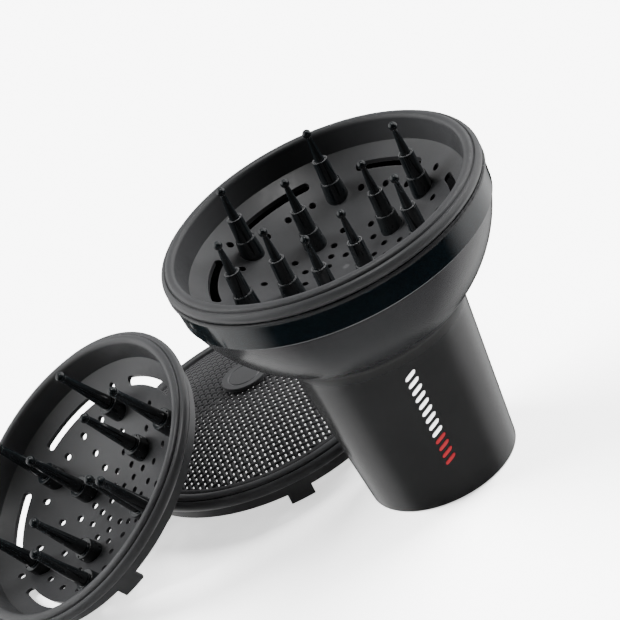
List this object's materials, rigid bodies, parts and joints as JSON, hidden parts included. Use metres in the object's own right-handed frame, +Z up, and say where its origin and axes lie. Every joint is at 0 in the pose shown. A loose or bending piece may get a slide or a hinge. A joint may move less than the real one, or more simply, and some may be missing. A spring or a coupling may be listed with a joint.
{
  "type": "hair dryer diffuser",
  "caption": "Bell-shaped hair dryer diffuser with a finned neck sleeve, a push-in perforated plate of stepped fingers, and two loose plates: cone fingers and a domed mesh.",
  "frame": {"origin": "centre of the neck's mouth, on the surface the diffuser stands on", "axes": "+Z up the axis from the neck's mouth to the bell and its plate"},
  "size_m": [0.3059, 0.2549, 0.161],
  "materials": {
    "bell_plastic": "satin black",
    "plate_plastic": "fine-grained soft-touch dark grey",
    "finger_plastic": "polished black",
    "mesh_plastic": "woven black",
    "sleeve_silicone": "matte black silicone"
  },
  "bodies": {
    "housing": {"bell_shell": "bell_plastic", "nozzle_sleeve": "sleeve_silicone", "sleeve_clamp_ring": "bell_plastic"},
    "mounted_plate": {"finger_plate": "plate_plastic", "stepped_finger_outer_1": "finger_plastic", "stepped_finger_outer_2": "finger_plastic", "stepped_finger_outer_3": "finger_plastic", "stepped_finger_outer_4": "finger_plastic", "stepped_finger_outer_5": "finger_plastic", "stepped_finger_outer_6": "finger_plastic", "stepped_finger_inner_1": "finger_plastic", "stepped_finger_inner_2": "finger_plastic", "stepped_finger_inner_3": "finger_plastic", "stepped_finger_inner_4": "finger_plastic"},
    "loose_finger_plate": {"spare_finger_plate": "plate_plastic", "cone_finger_outer_1": "finger_plastic", "cone_finger_outer_2": "finger_plastic", "cone_finger_outer_3": "finger_plastic", "cone_finger_outer_4": "finger_plastic", "cone_finger_outer_5": "finger_plastic", "cone_finger_outer_6": "finger_plastic", "cone_finger_inner_1": "finger_plastic", "cone_finger_inner_2": "finger_plastic", "cone_finger_inner_3": "finger_plastic", "cone_finger_inner_4": "finger_plastic"},
    "loose_mesh_plate": {"mesh_ring": "plate_plastic", "mesh_dome": "mesh_plastic", "mesh_button": "plate_plastic"}
  },
  "joints": [
    {"name": "mounted_plate_pull", "type": "slide", "parent": "housing", "child": "mounted_plate", "axis": [0, 0, 1], "range_m": [0, 0.06]},
    {"name": "loose_finger_plate_slide", "type": "slide", "parent": "housing", "child": "loose_finger_plate", "axis": [-0.9397, -0.342, 0], "range_m": [0, 0.06]},
    {"name": "loose_mesh_plate_slide", "type": "slide", "parent": "housing", "child": "loose_mesh_plate", "axis": [0.9397, 0.342, 0], "range_m": [0, 0.06]}
  ]
}
